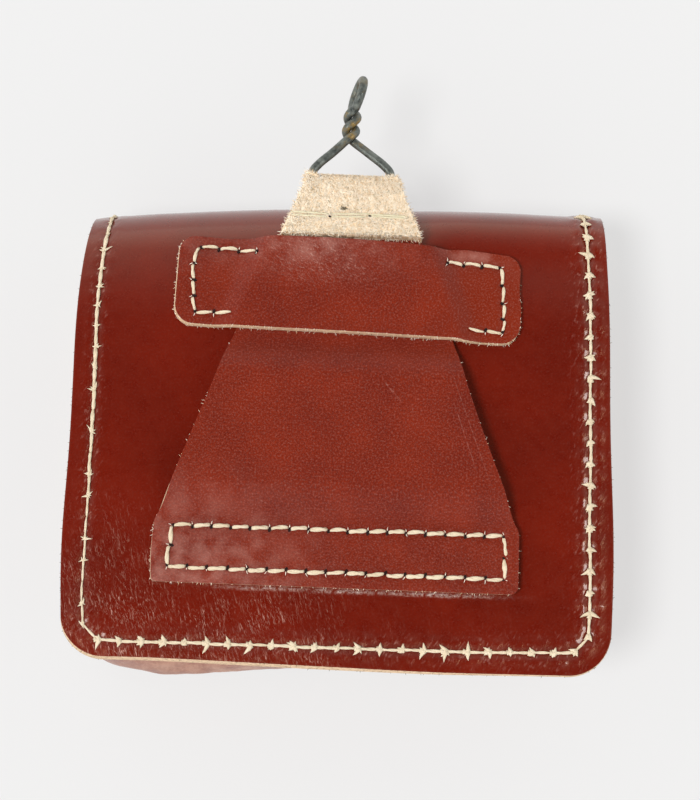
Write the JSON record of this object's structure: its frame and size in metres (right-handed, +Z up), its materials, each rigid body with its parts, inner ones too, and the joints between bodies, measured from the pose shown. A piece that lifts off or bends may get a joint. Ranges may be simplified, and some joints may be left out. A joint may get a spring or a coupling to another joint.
{
  "type": "cartridge pouch",
  "caption": "Stitched leather belt pouch with a wrap-over flap, a trapezoid belt strap held by a keeper band, and a twisted wire hanger.",
  "frame": {"origin": "on the flat face of the flap that the pouch lies on, on the centre line of the back panel and halfway between its lower edge and the crown of the bend", "axes": "+Z up, out of the back panel; +Y along the pouch from its lower edge to the wire hanger; +X across it, to the right when the back panel is seen with the hanger on top"},
  "size_m": [0.1438, 0.1602, 0.0556],
  "materials": {
    "glazed_leather": "glazed mahogany leather, glossy, with fine wrinkles",
    "strap_leather": "russet leather with a fine grain, half matt",
    "steel_wire": "dull grey-brown steel wire with ochre rust",
    "brass_stud": "plain rubbed brass",
    "suede": "cream flesh side of the strap, fibrous",
    "linen_thread": "waxed cream linen thread"
  },
  "bodies": {
    "pouch": {"back_flap": "glazed_leather", "body_gusset": "glazed_leather", "front_wall": "glazed_leather", "belt_strap": "strap_leather", "keeper_band": "strap_leather", "closing_stud": "brass_stud"},
    "hanger": {"wire_hanger": "steel_wire"}
  },
  "joints": [
    {"name": "hanger_swing", "type": "hinge", "parent": "pouch", "child": "hanger", "pos_m": [0.00138, 0.06454, 0.05015], "axis": [0.9999, -0.0157, 0], "range_deg": [-75, 0]}
  ]
}
